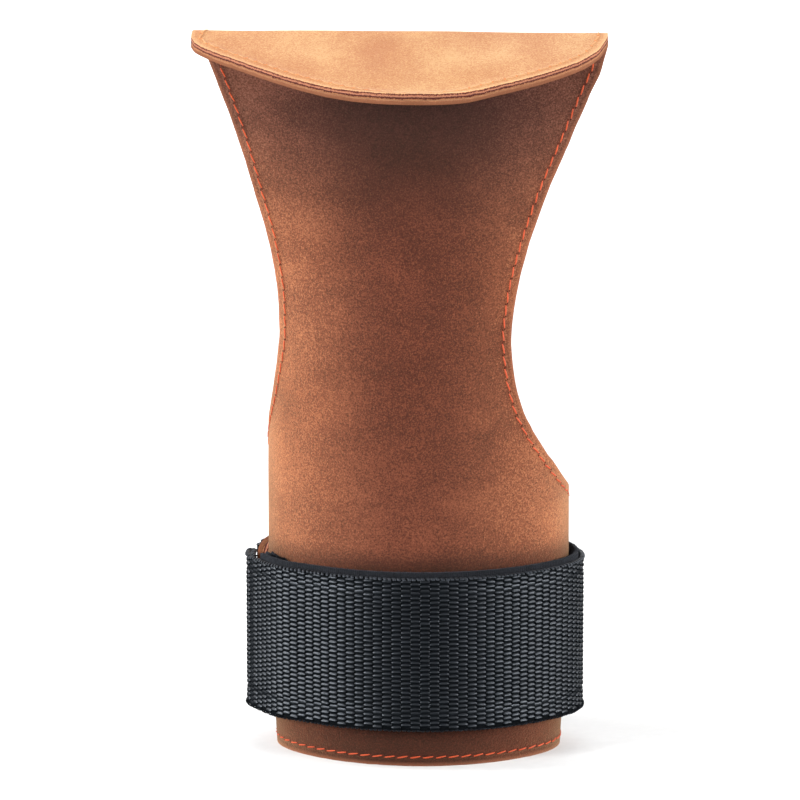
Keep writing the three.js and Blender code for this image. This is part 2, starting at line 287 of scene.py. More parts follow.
def roundRims(bm, sides, offset, segments=2):
    # Bevels the edges where the sides meet the flat faces
    between = set(sides)
    rims = [edge for edge in bm.edges if len(edge.link_faces) == 2
            and (edge.link_faces[0] in between) != (edge.link_faces[1] in between)]
    bmesh.ops.bevel(bm, geom=rims, offset=offset, segments=segments, profile=0.5, affect="EDGES",
                    material=-1, clamp_overlap=True)


# Material helpers
def newMaterial(name):
    material = bpy.data.materials.new(name)
    material.use_nodes = True
    return material, material.node_tree, material.node_tree.nodes["Principled BSDF"]


def setInputs(tree, node, inputs):
    # Each input gets a link or a fixed value
    for key, value in inputs.items():
        if isinstance(value, bpy.types.NodeSocket):
            tree.links.new(value, node.inputs[key])
        else:
            node.inputs[key].default_value = value


def addNode(tree, kind, inputs=None, **settings):
    node = tree.nodes.new(kind)
    for key, value in settings.items():
        setattr(node, key, value)
    setInputs(tree, node, inputs or {})
    return node


def linear(red, green, blue):
    # A display colour, 0 to 255, as the renderer's linear values
    values = []
    for channel in (red, green, blue):
        share = channel / 255
        values.append(share / 12.92 if share <= 0.04045 else ((share + 0.055) / 1.055) ** 2.4)
    return (*values, 1.0)


def objectPoint(tree, stretch=(1, 1, 1)):
    coordinates = addNode(tree, "ShaderNodeTexCoord")
    mapping = {"Vector": coordinates.outputs["Object"], "Scale": stretch}
    return addNode(tree, "ShaderNodeMapping", mapping).outputs["Vector"]


def noiseOf(tree, point, size, detail=4.0, roughness=0.55, distortion=0.0):
    # Noise whose blobs are about as large as the size, in millimetres
    node = addNode(tree, "ShaderNodeTexNoise", {
        "Vector": point, "Scale": 1 / (size * mm), "Detail": detail, "Roughness": roughness,
        "Distortion": distortion})
    return node.outputs["Fac"]


def rampOf(tree, value, stops):
    node = addNode(tree, "ShaderNodeValToRGB", {"Fac": value})
    elements = node.color_ramp.elements
    while len(elements) < len(stops):
        elements.new(0.5)
    for element, (place, colour) in zip(elements, stops):
        element.position = place
        element.color = colour
    return node.outputs["Color"]


def rangeOf(tree, value, low, high, toLow=0.0, toHigh=1.0, kind="LINEAR"):
    node = addNode(tree, "ShaderNodeMapRange", {
        "Value": value, "From Min": low, "From Max": high, "To Min": toLow, "To Max": toHigh},
        interpolation_type=kind)
    return node.outputs["Result"]


def mixOf(tree, factor, first, second, blend="MIX"):
    # Inputs 6 and 7 and output 2 are the colour ones
    node = addNode(tree, "ShaderNodeMix", {0: factor, 6: first, 7: second}, data_type="RGBA",
                   blend_type=blend)
    return node.outputs[2]


def mathOf(tree, operation, first, second=0.0):
    return addNode(tree, "ShaderNodeMath", {0: first, 1: second}, operation=operation).outputs[0]


def sumOf(tree, first, second):
    return mathOf(tree, "ADD", first, second)


def noisePart(tree, noiseValue, share):
    # The middle of a noise's range, as a share of a tone
    return rangeOf(tree, noiseValue, 0.25, 0.75, 0, share)


def bumpOf(tree, height, distance, strength=1.0, normal=None):
    inputs = {"Height": height, "Distance": distance * mm, "Strength": strength}
    if normal is not None:
        inputs["Normal"] = normal
    return addNode(tree, "ShaderNodeBump", inputs).outputs["Normal"]


# Where painted shade darkens the leather, in millimetres of its flat pattern
paintedShade = {
    "lowRun": (70, 150),        # the band of painted shade in the middle grows from its low strength to its full one
    "flapShadowRun": (118, 164),      # the painted shadow below the flap comes in
    "foldSides": 0.78,          # what is left of it at the sides
    "footShadeRun": (8, 13),         # the painted shade on the foot ends under the strap
    "footShadeAcross": (-46, 30),    # and is weaker at the right
    "footShadeRight": 0.35,
    "shadeAboveHeight": 6,          # the strip of painted shade above the strap
    "shadeAboveShare": 0.9,
}


def paintedShadeAreas(tree, look):
    # How strong the painted shade is in the middle, below the flap, and on the foot and just above the
    # strap
    def grow(value, span, first, last, kind="SMOOTHSTEP"):
        return rangeOf(tree, value, span[0] * mm, span[1] * mm, first, last, kind)

    uv = addNode(tree, "ShaderNodeUVMap", uv_map="pattern").outputs["UV"]
    split = addNode(tree, "ShaderNodeSeparateXYZ", {"Vector": uv})
    across, run = split.outputs["X"], split.outputs["Y"]
    # Painted shade in the middle of the front, where the side lamps reach less
    offMiddle = mathOf(tree, "ABSOLUTE", sumOf(tree, across, look["middleShadeOffset"] * mm))
    middle = grow(offMiddle, look["middleShadeSpread"], 1, 0)
    middleShade = mathOf(tree, "MULTIPLY", middle, grow(run, paintedShade["lowRun"], look["middleShadeLow"], 1))
    # Painted shadow of the flap, weaker at the sides
    foldSide = rangeOf(tree, middle, 0, 1, paintedShade["foldSides"], 1)
    flapShadow = mathOf(tree, "MULTIPLY", foldSide, grow(run, paintedShade["flapShadowRun"], 0, 1))
    # Painted shade on the foot below the strap and on the strip above it
    footShade = mathOf(tree, "MULTIPLY", grow(run, paintedShade["footShadeRun"], 1, 0, "LINEAR"),
                  grow(across, paintedShade["footShadeAcross"], 1, paintedShade["footShadeRight"], "LINEAR"))
    strip = (look["strapTop"], look["strapTop"] + paintedShade["shadeAboveHeight"])
    shadeAboveStrap = mathOf(tree, "MULTIPLY", grow(run, strip, 1, 0), paintedShade["shadeAboveShare"])
    return middleShade, flapShadow, mathOf(tree, "MAXIMUM", footShade, shadeAboveStrap)


# Sizes of the leather's grain in millimetres, and how deep each part of it is
grain = {
    "patchSize": 42, "mottleSize": 1.1, "mottleShare": 0.16, "mottleDepth": 0.20,
    "napSize": 0.40, "napDepth": 0.22, "speckSize": 0.27, "speckDepth": 0.10,
    "wearAndHighlightWidth": 1.1, "wearAndHighlightFull": 0.1,     # the lighter band at the cut edge: partly wear, partly a painted highlight
    "seamReach": 6, "seamDepth": 0.55,     # the dip along the seam
}


# Napped leather: mottled colour, darker or lighter patches, fine nap, painted shade in the middle, below
# the flap and round the strap, and a lighter cut edge that is partly wear and partly a painted highlight
def nappedLeather(name, look):
    material, tree, shader = newMaterial(name)
    point = objectPoint(tree)
    streaks = objectPoint(tree, look["streak"])
    patches = noiseOf(tree, point, grain["patchSize"], 2, 0.5)
    clouds = noiseOf(tree, streaks, look["cloudSize"], 3, 0.45, 0.3)
    mottle = noiseOf(tree, streaks, grain["mottleSize"], 3, 0.6)
    nap = noiseOf(tree, point, grain["napSize"], 2, 0.6, 0.3)
    speck = noiseOf(tree, point, grain["speckSize"], 1, 0.5)
    napShare = 1 - grain["mottleShare"] - look["cloudShare"]
    cloudPart = noisePart(tree, clouds, look["cloudShare"])
    mottlePart = noisePart(tree, mottle, grain["mottleShare"])
    tone = sumOf(tree, sumOf(tree, cloudPart, mottlePart), noisePart(tree, nap, napShare))
    colour = rampOf(tree, tone, [(0.28, look["dark"]), (0.50, look["middle"]), (0.72, look["light"])])
    colour = mixOf(tree, rangeOf(tree, patches, 0.35, 0.68), colour, look["patch"], "MULTIPLY")
    lightHairs = rangeOf(tree, speck, 0.58, 0.80, 0, look["napShow"])
    colour = mixOf(tree, lightHairs, colour, look["napLight"])
    darkPores = rangeOf(tree, speck, 0.42, 0.22, 0, look["speckShow"])
    colour = mixOf(tree, darkPores, colour, look["speck"])
    # Multiplies in the painted shade: in the middle, below the flap, and on the foot and the strip above
    # the strap
    for area, areaTone in zip(paintedShadeAreas(tree, look), ("middleShade", "flapShadowTone", "strapShadeTone")):
        colour = mixOf(tree, area, colour, look[areaTone], "MULTIPLY")
    edge = addNode(tree, "ShaderNodeAttribute", attribute_name="edgeDistance").outputs["Fac"]
    # The lighter band along the cut edge: partly wear, partly a painted highlight along the rim
    worn = rangeOf(tree, edge, grain["wearAndHighlightWidth"], grain["wearAndHighlightFull"], 0, look["edgeWearAndHighlight"])
    groove = addNode(tree, "ShaderNodeFloatCurve", {"Value": rangeOf(tree, edge, 0, grain["seamReach"])})
    seamShape(groove.mapping)
    normal = bumpOf(tree, groove.outputs["Value"], grain["seamDepth"], 0.8)
    normal = bumpOf(tree, mottle, grain["mottleDepth"], 0.3, normal)
    normal = bumpOf(tree, nap, grain["napDepth"], 0.75, normal)
    setInputs(tree, shader, {
        "Base Color": mixOf(tree, worn, colour, look["edgeWearHighlightColour"]),
        "Roughness": look["roughness"], "Specular IOR Level": look["specular"],
        "Sheen Weight": look["sheen"], "Sheen Roughness": look["sheenRoughness"],
        "Sheen Tint": look["sheenTint"], "Normal": bumpOf(tree, speck, grain["speckDepth"], 0.6, normal)})
    return material


def seamShape(mapping):
    # The surface's height against the share of the way in from the edge: a dip along the seam
    points = [(0, 0.62), (0.12, 0.74), (0.24, 0.70), (0.38, 0.36), (0.52, 0.70), (0.70, 0.79), (1, 0.8)]
    curve = mapping.curves[0]
    while len(curve.points) < len(points):
        curve.points.new(0.5, 0.5)
    for handle, (x, y) in zip(curve.points, points):
        handle.location = (x, y)
    mapping.update()


# In these looks the middle, flap-shadow and strap-shade tones are painted shade, and the edge colour is
# partly wear and partly a painted highlight
nubuckLook = {
    "dark": linear(86, 43, 29), "middle": linear(119, 66, 44), "light": linear(154, 98, 66),
    "cloudShare": 0.22, "cloudSize": 13, "patch": linear(236, 224, 218),
    "napLight": linear(204, 145, 96), "napShow": 0.44, "speck": linear(56, 24, 18), "speckShow": 0.54,
    "edgeWearHighlightColour": linear(156, 98, 72), "edgeWearAndHighlight": 0.4,
    "middleShade": linear(165, 140, 147), "middleShadeOffset": 0.0, "middleShadeSpread": (5, 43), "middleShadeLow": 0.95,
    "flapShadowTone": linear(136, 132, 180), "strapShadeTone": linear(146, 112, 120), "strapTop": 49.2,
    "roughness": 0.85, "specular": 0.12, "sheen": 0.45, "sheenRoughness": 0.5,
    "sheenTint": linear(255, 218, 165), "streak": (0.8, 0.8, 1.15),
}
suedeLook = {
    "dark": linear(156, 96, 56), "middle": linear(171, 120, 77), "light": linear(185, 146, 102),
    "cloudShare": 0.38, "cloudSize": 12, "patch": linear(252, 242, 226),
    "napLight": linear(232, 194, 150), "napShow": 0.35, "speck": linear(166, 98, 58), "speckShow": 0.45,
    "edgeWearHighlightColour": linear(232, 188, 138), "edgeWearAndHighlight": 0.3,
    "middleShade": linear(248, 242, 234), "middleShadeOffset": 2.0, "middleShadeSpread": (2, 40), "middleShadeLow": 1.0,
    "flapShadowTone": linear(255, 255, 255), "strapShadeTone": linear(220, 210, 200), "strapTop": 48.0,
    "roughness": 0.88, "specular": 0.12, "sheen": 0.2, "sheenRoughness": 0.5,
    "sheenTint": linear(255, 232, 204), "streak": (1.0, 0.6, 0.8),
}
coreLook = dict(nubuckLook, dark=linear(84, 34, 24), middle=linear(104, 46, 32), light=linear(128, 62, 44))


def cutEdge():
    # The raw fibres of the cut edge: pale in the middle of each ply, dark where two plies are glued, and
    # pale at the suede side's rim, partly the suede's tan and partly a painted highlight
    material, tree, shader = newMaterial("cut edge")
    point = objectPoint(tree)
    fibres = noiseOf(tree, point, 0.42, 4, 0.7, 1.0)
    tufts = noiseOf(tree, point, 2.2, 3, 0.6)
    depth = addNode(tree, "ShaderNodeAttribute", attribute_name="stackDepth").outputs["Fac"]
    wander = sumOf(tree, rangeOf(tree, fibres, 0.35, 0.65, -0.07, 0.07),
                   rangeOf(tree, tufts, 0.3, 0.7, -0.05, 0.05))
    colour = rampOf(tree, sumOf(tree, depth, wander), [
        (0.00, linear(108, 66, 44)), (0.28, linear(114, 72, 50)), (0.37, linear(146, 100, 70)),
        (0.48, linear(136, 90, 62)), (0.53, linear(66, 28, 25)), (0.66, linear(70, 30, 27)),
        (0.71, linear(158, 106, 82)), (0.82, linear(148, 96, 72)), (0.87, linear(70, 29, 25)),
        (0.97, linear(80, 36, 29)), (1.00, linear(206, 150, 104))])
    colour = mixOf(tree, rangeOf(tree, fibres, 0.55, 0.75, 0, 0.4), colour, linear(70, 36, 30))
    colour = mixOf(tree, rangeOf(tree, fibres, 0.42, 0.25, 0, 0.4), colour, linear(178, 132, 106))
    setInputs(tree, shader, {"Base Color": colour, "Roughness": 0.9, "Specular IOR Level": 0.1,
                             "Normal": bumpOf(tree, fibres, 0.25, 0.9)})
    return material


# Flat pattern of the leather, laid out in millimetres: x across, y along the run
fineSteps = [0.4, 0.9, 1.4, 1.9, 2.3, 2.7, 3.3, 4.2, 5.4]   # finer squares along the edges and the seam


def spacedSteps(length, start=True, end=True):
    # Steps along a length, fine at an outer edge and even elsewhere
    steps = [0.0] + (fineSteps if start else [])
    first = steps[-1]
    last = length - (fineSteps[-1] if end else 0)
    count = max(1, round((last - first) / leather["gridPitch"]))
    steps += [first + (last - first) * i / count for i in range(1, count + 1)]
    if end:
        steps += [length - offset for offset in reversed(fineSteps[:-1])] + [length]
    return steps


def cuffRun(across, share):
    # The run of a point of the cuff, at a share of the way from its lower edge to its upper one
    around = across / girth
    low = cuffBottomShare(around) * leather["cuffHeight"]
    topShare = cuffTopLeft(around) if around < 0 else cuffTopRight(around)
    high = leather["cuffHeight"] + topShare * leather["flareHeight"]
    return low + (high - low) * share


def flatPattern():
    leftEnd = cuffEdges[0][0] * girth
    rightEnd = cuffEdges[-1][0] * girth
    places = [leftEnd + step for step in spacedSteps(leftFlare - leftEnd, end=False)]
    palmSteps = spacedSteps(rightFlare - leftFlare)
    neckStart = len(places) - 1
    places += [leftFlare + step for step in palmSteps[1:]]
    neckEnd = len(places) - 1
    places += [rightFlare + step for step in spacedSteps(rightEnd - rightFlare, start=False)[1:]]
    height = leather["cuffHeight"] + leather["flareHeight"] / 2
    rows = [step / height for step in spacedSteps(height)]
    bm = bmesh.new()
    bmesh.ops.create_grid(bm, x_segments=len(places) - 1, y_segments=len(rows) - 1, size=1)
    bm.verts.ensure_lookup_table()
    grid = sorted(bm.verts, key=lambda vert: (round(vert.co.y, 6), round(vert.co.x, 6)))
    for index, vert in enumerate(grid):
        row, column = divmod(index, len(places))
        vert.co = (places[column], cuffRun(places[column], rows[row]), 0)
    top = grid[-len(places):]
    edgeRow = top[neckStart:neckEnd + 1]
    neckWidth = rightFlare - leftFlare
    shares = [step / neckWidth for step in palmSteps]

    def addRow(row, leftShare, rightShare, run):
        left, right = -leftShare * leather["flapWidth"], rightShare * leather["flapWidth"]
        return growRow(bm, row, [left + (right - left) * share for share in shares], [run] * len(shares))

    for step in spacedSteps(palmZone, start=False, end=False)[1:]:
        part = step / palmZone
        edgeRow = addRow(edgeRow, palmLeftShare(part), palmRightShare(part), flareTop + step)
    palmTop = palmEdges[-1]
    for step in range(1, leather["foldRows"] + 1):
        part = step / leather["foldRows"]
        leftShare = palmTop[1] + (flapLeft - palmTop[1]) * part
        rightShare = palmTop[2] + (flapRight - palmTop[2]) * part
        edgeRow = addRow(edgeRow, leftShare, rightShare, leather["palmHeight"] + foldLength * part)
    acrossFlap = [vert.co.x for vert in edgeRow]
    reaches = [flapReachShare(x / leather["flapWidth"]) * leather["flapLength"] for x in acrossFlap]
    for step in spacedSteps(leather["flapLength"], start=False)[1:]:
        part = step / leather["flapLength"]
        edgeRow = growRow(bm, edgeRow, acrossFlap, [flapStart + part * reach for reach in reaches])
    bmesh.ops.recalc_face_normals(bm, faces=bm.faces)
    if sum(face.normal.z for face in bm.faces) > 0:
        bmesh.ops.reverse_faces(bm, faces=bm.faces)
    return bm


def growRow(bm, row, xs, ys):
    # Extrudes one row of edges and lays the new points out
    edges = [bm.edges.get((a, b)) for a, b in zip(row, row[1:])]
    fresh = set(vertsIn(bmesh.ops.extrude_edge_only(bm, edges=edges)["geom"]))
    newRow = [freshNeighbour(vert, fresh) for vert in row]
    for vert, x, y in zip(newRow, xs, ys):
        vert.co = (x, y, 0)
    return newRow


def freshNeighbour(vert, fresh):
    # The new point that an extrusion made from a point
    return next(edge.other_vert(vert) for edge in vert.link_edges if edge.other_vert(vert) in fresh)


def boundaryLoop(bm):
    # The outline's points in order, starting at the lower left
    loops = [edge.link_loops[0] for edge in bm.edges if edge.is_boundary]
    nextOf = {loop.vert: loop.link_loop_next.vert for loop in loops}
    start = min(nextOf, key=lambda vert: vert.co.x + vert.co.y)
    points = [start.co.copy()]
    vert = nextOf[start]
    while vert is not start:
        points.append(vert.co.copy())
        vert = nextOf[vert]
    return points


pattern = flatPattern()
outline = boundaryLoop(pattern)
print("pattern:", len(pattern.faces), "faces,", len(outline), "points round it")


def resample(points, pitch):
    # Evenly spaced points on a closed line, each with its direction
    loop = points + [points[0]]
    lengths = [0.0]
    for a, b in zip(loop, loop[1:]):
        lengths.append(lengths[-1] + (b - a).length)
    count = max(1, round(lengths[-1] / pitch))
    result = []
    segment = 0
    for i in range(count):
        place = lengths[-1] * i / count
        while segment < len(loop) - 2 and lengths[segment + 1] < place:
            segment += 1
        a, b = loop[segment], loop[segment + 1]
        span = max(lengths[segment + 1] - lengths[segment], 1e-9)
        result.append((a.lerp(b, (place - lengths[segment]) / span), (b - a).normalized()))
    return result


outlineSamples = [point for point, _ in resample(outline, 0.3)]
outlineTree = kdtree.KDTree(len(outlineSamples))
for index, point in enumerate(outlineSamples):
    outlineTree.insert(point, index)
outlineTree.balance()


def edgeDistance(x, y):
    return outlineTree.find(Vector((x, y, 0)))[2]


def makePly(name, outer, inner, materials, slotName, rim=0.16, recess=0.0):
    # Cuts a ply from the pattern, gives it its thickness, rounds its edge, then forms it
    bm = pattern.copy()
    for vert in bm.verts:
        vert.co.z = outer
    for vert in [vert for vert in bm.verts if recess and vert.is_boundary]:
        inside = [edge.other_vert(vert).co for edge in vert.link_edges if not edge.is_boundary]
        if inside:
            way = sum(inside, Vector()) / len(inside) - vert.co
            vert.co += way.normalized() * min(recess, 0.5 * way.length)
    sides = thicken(bm, 2, inner)
    for face in sides:
        face.material_index = 1
    roundRims(bm, sides, rim)
    layer = bm.verts.layers.float.new("edgeDistance")
    depthLayer = bm.verts.layers.float.new("stackDepth")
    uvLayer = bm.loops.layers.uv.new("pattern")
    for vert in bm.verts:
        vert[layer] = edgeDistance(vert.co.x, vert.co.y)
        vert[depthLayer] = vert.co.z / thickness
    for face in bm.faces:
        for loop in face.loops:
            loop[uvLayer].uv = (loop.vert.co.x * mm, loop.vert.co.y * mm)
    for vert in bm.verts:
        uneven = noise.noise_vector(vert.co / leather["rimWobbleSize"]) * leather["rimWobble"]
        uneven *= 1 - smoothStep(vert[layer], 0.1, 0.5)
        vert.co = onLeather(vert.co.x + uneven.x, vert.co.y + uneven.y, vert.co.z)
    finishPiece(bm, name, materials, [slotName])


coreDepth = leather["palmPly"] + leather["plyGap"]
backingDepth = coreDepth + leather["corePly"] + leather["plyGap"]
nubuck = nappedLeather("nubuck", nubuckLook)
suede = nappedLeather("suede", suedeLook)
coreFace = nappedLeather("core leather", coreLook)
rawEdge = cutEdge()

makePly("palm_ply", 0, leather["palmPly"], [nubuck, rawEdge], "palm_leather", 0.3)
makePly("core_ply", coreDepth, coreDepth + leather["corePly"], [coreFace, rawEdge], "core_leather",
        0.12, 0.16)   # set back a little from the other two
makePly("backing_ply", backingDepth, thickness, [suede, rawEdge], "backing_leather", 0.16)
pattern.free()

# The strap: where its layers lie round the cuff, in millimetres and shares of the girth
strap = {
    "webbingWidth": 38.0,
    "webbingThickness": 1.25,
    "height": 9.5,            # from the floor to the webbing's lower edge
    "bandThickness": 1.0,
    "showAbove": 1.2,
    "showBelow": 0.05,
    "gap": 0.3,
    "slack": 1.2,
    "hookTabThickness": 0.9,
    "hookTabSheet": 0.6,      # the tape's own share of that, the hooks take the rest
    "hookTabHeight": 17.0,
    "hookTabShow": 0.9,
    "hookTabTear": 0.1,       # share of the tape's height that is torn
    "hookTabFall": 1.2,       # how much lower the torn edge is at the tape's ends
    "hemGap": 0.15,
    "hemFoldAt": -0.262,
    "hemEnd": -0.226,
    "hemRamp": -0.16,
    "webbingEnd": 0.715,
    "bandStart": -0.215,
    "bandEnd": 0.715,
    "hookTabStart": -0.230,
    "hookTabEnd": -0.168,
}
overArm = overlapLift + strap["gap"]
overTab = strap["hookTabThickness"] + 2 * strap["gap"]
seatRows = [
    (-0.300, overArm), (-0.236, overArm), (-0.205, overTab), (-0.160, overTab), (-0.130, strap["gap"]),
    (0.170, strap["gap"]), (0.235, strap["gap"] + strap["slack"]), (0.290, strap["gap"] + strap["slack"]),
    (0.345, strap["gap"]), (0.500, overArm), (0.760, overArm),
]


def planPoint(around, stand):
    x, behind, heading = ovalAt(around * girth, 1)
    return Vector((x + stand * math.sin(heading), -halfDepth + behind - stand * math.cos(heading), 0))


def straightLookUp(rows, at):
    # The straight-line reading of the table, which the frame's solids follow
    for (x0, y0), (x1, y1) in zip(rows, rows[1:]):
        if at <= x1:
            return y0 + (y1 - y0) * max(at - x0, 0) / (x1 - x0)
    return rows[-1][1]


def planLine(start, end, standOff, step=1.2):
    count = max(2, round(abs(end - start) * girth / step))
    points = []
    for i in range(count + 1):
        around = start + (end - start) * i / count
        points.append(planPoint(around, straightLookUp(seatRows, around) + standOff(around)))
    return points


def smoothed(points, rounds=3):
    # Takes the corners out of an open line
    for _ in range(rounds):
        inner = [(a + 2 * b + c) / 4 for a, b, c in zip(points, points[1:], points[2:])]
        points = [points[0]] + inner + [points[-1]]
    return points


class planPath:
    # A line in plan that a strap follows: a place along it and a distance outward give a point
    def __init__(self, points):
        self.points = points
        self.lengths = [0.0]
        for a, b in zip(points, points[1:]):
            self.lengths.append(self.lengths[-1] + (b - a).length)
        self.length = self.lengths[-1]
        ways = [(b - a).normalized() for a, b in zip(points, points[1:])]
        joined = [ways[0]] + [(a + b).normalized() for a, b in zip(ways, ways[1:])] + [ways[-1]]
        self.normals = [Vector((way.y, -way.x, 0)) for way in joined]

    def at(self, along, outward, z):
        i = min(max(bisect.bisect_right(self.lengths, along) - 1, 0), len(self.points) - 2)
        span = self.lengths[i + 1] - self.lengths[i]
        t = (along - self.lengths[i]) / span
        point = self.points[i].lerp(self.points[i + 1], t)
        normal = self.normals[i].lerp(self.normals[i + 1], t).normalized()
        return Vector((point.x + normal.x * outward, point.y + normal.y * outward, z))


# The middle of the webbing's thickness: from the hidden hem end, round the fold, then over the front
hemStep = strap["webbingThickness"] + strap["hemGap"]
onBand = strap["bandThickness"] + strap["gap"]
halfWebbing = strap["webbingThickness"] / 2


def webbingStand(around):
    ramp = smoothStep(around, strap["hemEnd"], strap["hemRamp"])
    return hemStep + (onBand - hemStep) * ramp + halfWebbing


def webbingLine():
    inner = planLine(strap["hemEnd"], strap["hemFoldAt"], lambda around: halfWebbing)
    outer = planLine(strap["hemFoldAt"], strap["webbingEnd"], webbingStand)
    middle = straightLookUp(seatRows, strap["hemFoldAt"]) + halfWebbing + hemStep / 2
    turn = []
    for part in (0.2, 0.4, 0.6, 0.8):
        angle = math.pi * (part - 0.5)
        around = strap["hemFoldAt"] - hemStep / 2 * math.cos(angle) / girth
        turn.append(planPoint(around, middle + hemStep / 2 * math.sin(angle)))
    return inner + turn + smoothed(outer)


webbingPath = planPath(webbingLine())
bandPath = planPath(smoothed(planLine(strap["bandStart"], strap["bandEnd"],
                                      lambda around: strap["bandThickness"] / 2)))
tabLength = strap["hookTabEnd"] - strap["hookTabStart"]
tabPath = planPath([planPoint(strap["hookTabStart"] + tabLength * i / 10,
                              strap["gap"] + strap["hookTabThickness"] / 2) for i in range(11)])
bandTop = strap["height"] + strap["webbingWidth"] + strap["showAbove"]
bandBottom = strap["height"] - strap["showBelow"]
tabTop = bandTop + strap["hookTabShow"]
print("webbing path", round(webbingPath.length, 1), "mm, band path", round(bandPath.length, 1), "mm")


def makeSlab(length, height, depth, pitch, rows, rim, rimSegments=2):
    # A flat slab in the x-z plane, its thickness along y, with rounded edges
    bm = bmesh.new()
    bmesh.ops.create_grid(bm, x_segments=max(2, round(length / pitch)), y_segments=rows, size=0.5)
    for vert in bm.verts:
        vert.co = ((vert.co.x + 0.5) * length, -depth / 2, (vert.co.y + 0.5) * height)
    roundRims(bm, thicken(bm, 1, depth / 2), rim, rimSegments)
    return bm


def layAlong(bm, path, bottom):
    # Lays a flat shape along a path: x becomes the way along it and y the way outward. Its flat
    # places stay as its own map
    layer = bm.loops.layers.uv.new("weave")
    for face in bm.faces:
        for loop in face.loops:
            loop[layer].uv = (loop.vert.co.x * mm, loop.vert.co.z * mm)
    for vert in bm.verts:
        vert.co = path.at(vert.co.x, vert.co.y, bottom + vert.co.z)


# Woven webbing: floats of the warp in staggered columns, over a dark ground
weave = {
    "columnPitch": 2.32,
    "rowPitch": 1.145,
    "floatLength": 2.26,
    "floatHeight": 1.04,
    "floatRise": 0.39,
    "groundShare": 0.55,     # how much of the thickness the ground takes
    "edge": 0.40,            # bare selvage at the upper and lower edge
    "sewnRows": (3, 29),     # the rows pressed in by the seams along the edges
    "sewnColumn": 8,         # and the column pressed in by the seam of the hem
    "sewnRise": 0.35,
    "sunk": 0.03,            # how far the floats reach into the ground
    "endMargin": 0.05,       # nothing comes nearer to the webbing's ends
    "unevenRise": 0.1,
    "tilt": 0.05,
    "groundInset": 0.25,
}


def makeFloat():
    # One float: a small pillow with blunt ends
    bm = bmesh.new()
    bmesh.ops.create_grid(bm, x_segments=6, y_segments=4, size=1)
    for vert in bm.verts:
        x, y = math.sin(vert.co.x * math.pi / 2), vert.co.y
        width = 1 - 0.34 * abs(x) ** 6
        rise = (1 - 0.30 * abs(x) ** 9) * (1 - abs(y) ** 2.6)
        vert.co = (x * weave["floatLength"] / 2, rise * weave["floatRise"],
                   y * width * weave["floatHeight"] / 2)
    return bm


def arrayCopies(bm, steps):
    # Copies a mesh by fixed steps in one or two directions, as one mesh
    mesh = bpy.data.meshes.new("copies")
    bm.to_mesh(mesh)
    bm.free()
    carrier = bpy.data.objects.new("copies", mesh)
    bpy.context.scene.collection.objects.link(carrier)
    for count, step in steps:
        array = carrier.modifiers.new("copies", "ARRAY")
        array.use_relative_offset = False
        array.use_constant_offset = True
        array.constant_offset_displace = step
        array.count = count
    evaluated = carrier.evaluated_get(bpy.context.evaluated_depsgraph_get())
    result = bmesh.new()
    result.from_mesh(evaluated.to_mesh())
    evaluated.to_mesh_clear()
    bpy.data.objects.remove(carrier)
    bpy.data.meshes.remove(mesh)
    return result


def insideEnds(x):
    return min(max(x, weave["endMargin"]), webbingPath.length - weave["endMargin"])


def makeWeave(material):
    single = makeFloat()
    perFloat = len(single.verts)
    columns = int((webbingPath.length - 1.0) / weave["columnPitch"])
    rows = round((strap["webbingWidth"] - 2 * weave["edge"]) / weave["rowPitch"] - 0.5)
    spareX = (webbingPath.length - (columns - 1) * weave["columnPitch"]) / 2
    spareZ = (strap["webbingWidth"] - (rows - 0.5) * weave["rowPitch"]) / 2
    ground = strap["webbingThickness"] * (weave["groundShare"] - 0.5) - weave["sunk"]
    bm = arrayCopies(single, [(rows, (0, 0, weave["rowPitch"])), (columns, (weave["columnPitch"], 0, 0))])
    uneven, tilt = weave["unevenRise"], weave["tilt"]
    swells = [random.uniform(1 - uneven, 1 + uneven) for _ in range(rows * columns)]
    tilts = [random.uniform(-tilt, tilt) for _ in range(rows * columns)]
    for index, vert in enumerate(bm.verts):
        place = index // perFloat
        column, row = divmod(place, rows)
        fromMiddle = vert.co.x - column * weave["columnPitch"]
        stagger = weave["rowPitch"] / 2 if column % 2 else 0
        sewn = row in weave["sewnRows"] or column == weave["sewnColumn"]
        vert.co.x = insideEnds(vert.co.x + spareX)
        vert.co.y = ground + vert.co.y * swells[place] * (weave["sewnRise"] if sewn else 1)
        vert.co.z += spareZ + stagger + tilts[place] * fromMiddle
    layAlong(bm, webbingPath, strap["height"])
    # Each float is open underneath and already points outward
    finishPiece(bm, "webbing_weave", [material], closed=False)


# The looped edges of the webbing: a short bent tube over the edge at each half column
selvage = {
    "threadRadius": 0.36,
    "threadWidth": 1.2,      # the thread is pressed wide
    "threadDepth": 0.62,
    "lean": 0.4,
    "inset": 0.42,           # from the webbing's edge to the loops' middle
    "height": 0.7,
    "sideways": 0.12,        # how uneven the loops lie
    "outward": (-0.12, 0.10),
}


